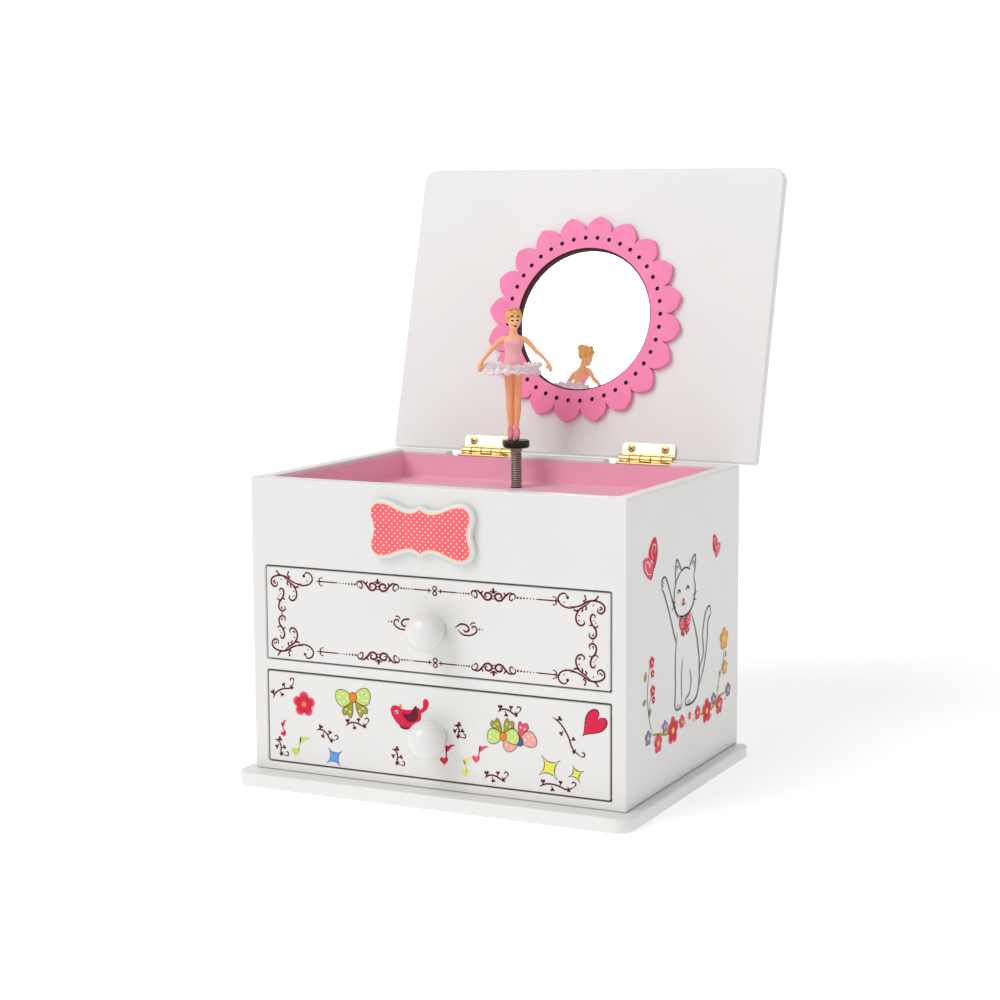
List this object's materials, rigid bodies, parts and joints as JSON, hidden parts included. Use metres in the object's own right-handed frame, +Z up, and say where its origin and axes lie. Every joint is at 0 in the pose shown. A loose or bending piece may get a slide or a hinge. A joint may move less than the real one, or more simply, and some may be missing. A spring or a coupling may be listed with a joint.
{
  "type": "wind up music box",
  "caption": "White wind-up music box with drawers, a pink-lined tray, and a dancer on a coil spring in front of a scallop-ringed mirror in the hinged lid.",
  "frame": {"origin": "centre of the case's footprint (the four walls, not the base plate's lips), on the underside of the base plate", "axes": "+X to the right as seen from the front, +Y from the drawers to the back panel, +Z up"},
  "size_m": [0.1706, 0.17, 0.2424],
  "materials": {
    "white_lacquer": "satin white lacquer on board",
    "plain_board": "bare thin board",
    "pink_lining": "flocked",
    "pink_paint": "satin pink",
    "coral_card": "printed and varnished",
    "mirror_glass": "silvered",
    "polished_brass": "bright plated",
    "spring_steel": "darkened steel",
    "green_black_plastic": "satin",
    "doll_plastic": "painted soft plastic",
    "tutu_plastic": "soft plastic ruffle"
  },
  "bodies": {
    "root": {"base_plate": "white_lacquer", "left_side": "white_lacquer", "right_side": "white_lacquer", "back_panel": "white_lacquer", "front_panel": "white_lacquer", "drawer_shelf": "white_lacquer", "plaque_backing": "white_lacquer", "case_bottom": "plain_board", "movement_partition": "plain_board", "dust_board": "plain_board", "tray_floor": "plain_board", "tray_lining": "pink_lining", "plaque_card": "coral_card", "left_hinge_case_leaf": "polished_brass", "left_hinge_pin": "polished_brass", "left_hinge_case_screw_1": "polished_brass", "left_hinge_case_screw_2": "polished_brass", "right_hinge_case_leaf": "polished_brass", "right_hinge_pin": "polished_brass", "right_hinge_case_screw_1": "polished_brass", "right_hinge_case_screw_2": "polished_brass", "bedplate": "spring_steel", "upper_bearing_plate": "polished_brass", "spring_housing": "spring_steel", "mainspring": "spring_steel", "comb": "spring_steel", "comb_screw": "spring_steel"},
    "lid": {"lid_panel": "white_lacquer", "mirror": "mirror_glass", "mirror_ring": "pink_paint", "left_hinge_lid_leaf": "polished_brass", "left_hinge_lid_screw_1": "polished_brass", "left_hinge_lid_screw_2": "polished_brass", "right_hinge_lid_leaf": "polished_brass", "right_hinge_lid_screw_1": "polished_brass", "right_hinge_lid_screw_2": "polished_brass"},
    "upper_drawer": {"upper_drawer_front": "white_lacquer", "upper_drawer_left": "white_lacquer", "upper_drawer_right": "white_lacquer", "upper_drawer_back": "white_lacquer", "upper_drawer_bottom": "plain_board", "upper_drawer_knob": "white_lacquer", "upper_drawer_knob_screw": "spring_steel"},
    "lower_drawer": {"lower_drawer_front": "white_lacquer", "lower_drawer_left": "white_lacquer", "lower_drawer_right": "white_lacquer", "lower_drawer_back": "white_lacquer", "lower_drawer_bottom": "plain_board", "lower_drawer_knob": "white_lacquer", "lower_drawer_knob_screw": "spring_steel"},
    "cylinder": {"cylinder": "polished_brass"},
    "winding": {"drive_wheel": "polished_brass", "winding_key": "polished_brass"},
    "governor": {"governor_fan": "spring_steel"},
    "spindle": {"spindle": "spring_steel"},
    "spring_bend": {"coil_spring": "spring_steel"},
    "figure": {"figure_disc": "green_black_plastic", "dancer": "doll_plastic", "tutu": "tutu_plastic"}
  },
  "joints": [
    {"name": "lid_hinge", "type": "hinge", "parent": "root", "child": "lid", "pos_m": [0.0014, 0.0585, 0.1219], "axis": [1, 0, 0], "range_deg": [0, 105.98]},
    {"name": "upper_drawer_slide", "type": "slide", "parent": "root", "child": "upper_drawer", "axis": [0, -1, 0], "range_m": [0, 0.06]},
    {"name": "lower_drawer_slide", "type": "slide", "parent": "root", "child": "lower_drawer", "axis": [0, -1, 0], "range_m": [0, 0.085]},
    {"name": "cylinder_spin", "type": "hinge", "parent": "root", "child": "cylinder", "pos_m": [-0.00191, 0.0364, 0.0812], "axis": [0, 0, 1], "continuous": true},
    {"name": "key_spin", "type": "hinge", "parent": "root", "child": "winding", "pos_m": [-0.00191, 0.058, 0.0654], "axis": [0, 1, 0], "continuous": true},
    {"name": "governor_spin", "type": "hinge", "parent": "root", "child": "governor", "pos_m": [0.00614, 0.04233, 0.0812], "axis": [0, 0, 1], "continuous": true},
    {"name": "spindle_spin", "type": "hinge", "parent": "root", "child": "spindle", "pos_m": [-0.0118, 0.0379, 0.0812], "axis": [0, 0, 1], "continuous": true},
    {"name": "figure_lean", "type": "hinge", "parent": "root", "child": "spring_bend", "pos_m": [-0.0118, 0.0379, 0.1159], "axis": [0.9063, 0.4226, 0], "range_deg": [0, 90], "deforming": ["coil_spring", "tutu"]},
    {"name": "figure_spin", "type": "hinge", "parent": "spring_bend", "child": "figure", "pos_m": [-0.0118, 0.0379, 0.1299], "axis": [0, 0, 1], "continuous": true}
  ],
  "couplings": [
    {"joint": "key_spin", "follows": "cylinder_spin", "ratio": -0.25},
    {"joint": "governor_spin", "follows": "cylinder_spin", "ratio": -4},
    {"joint": "spindle_spin", "follows": "cylinder_spin", "ratio": -4},
    {"joint": "figure_spin", "follows": "cylinder_spin", "ratio": -4},
    {"joint": "figure_lean", "follows": "lid_hinge", "ratio": 0.8492}
  ]
}
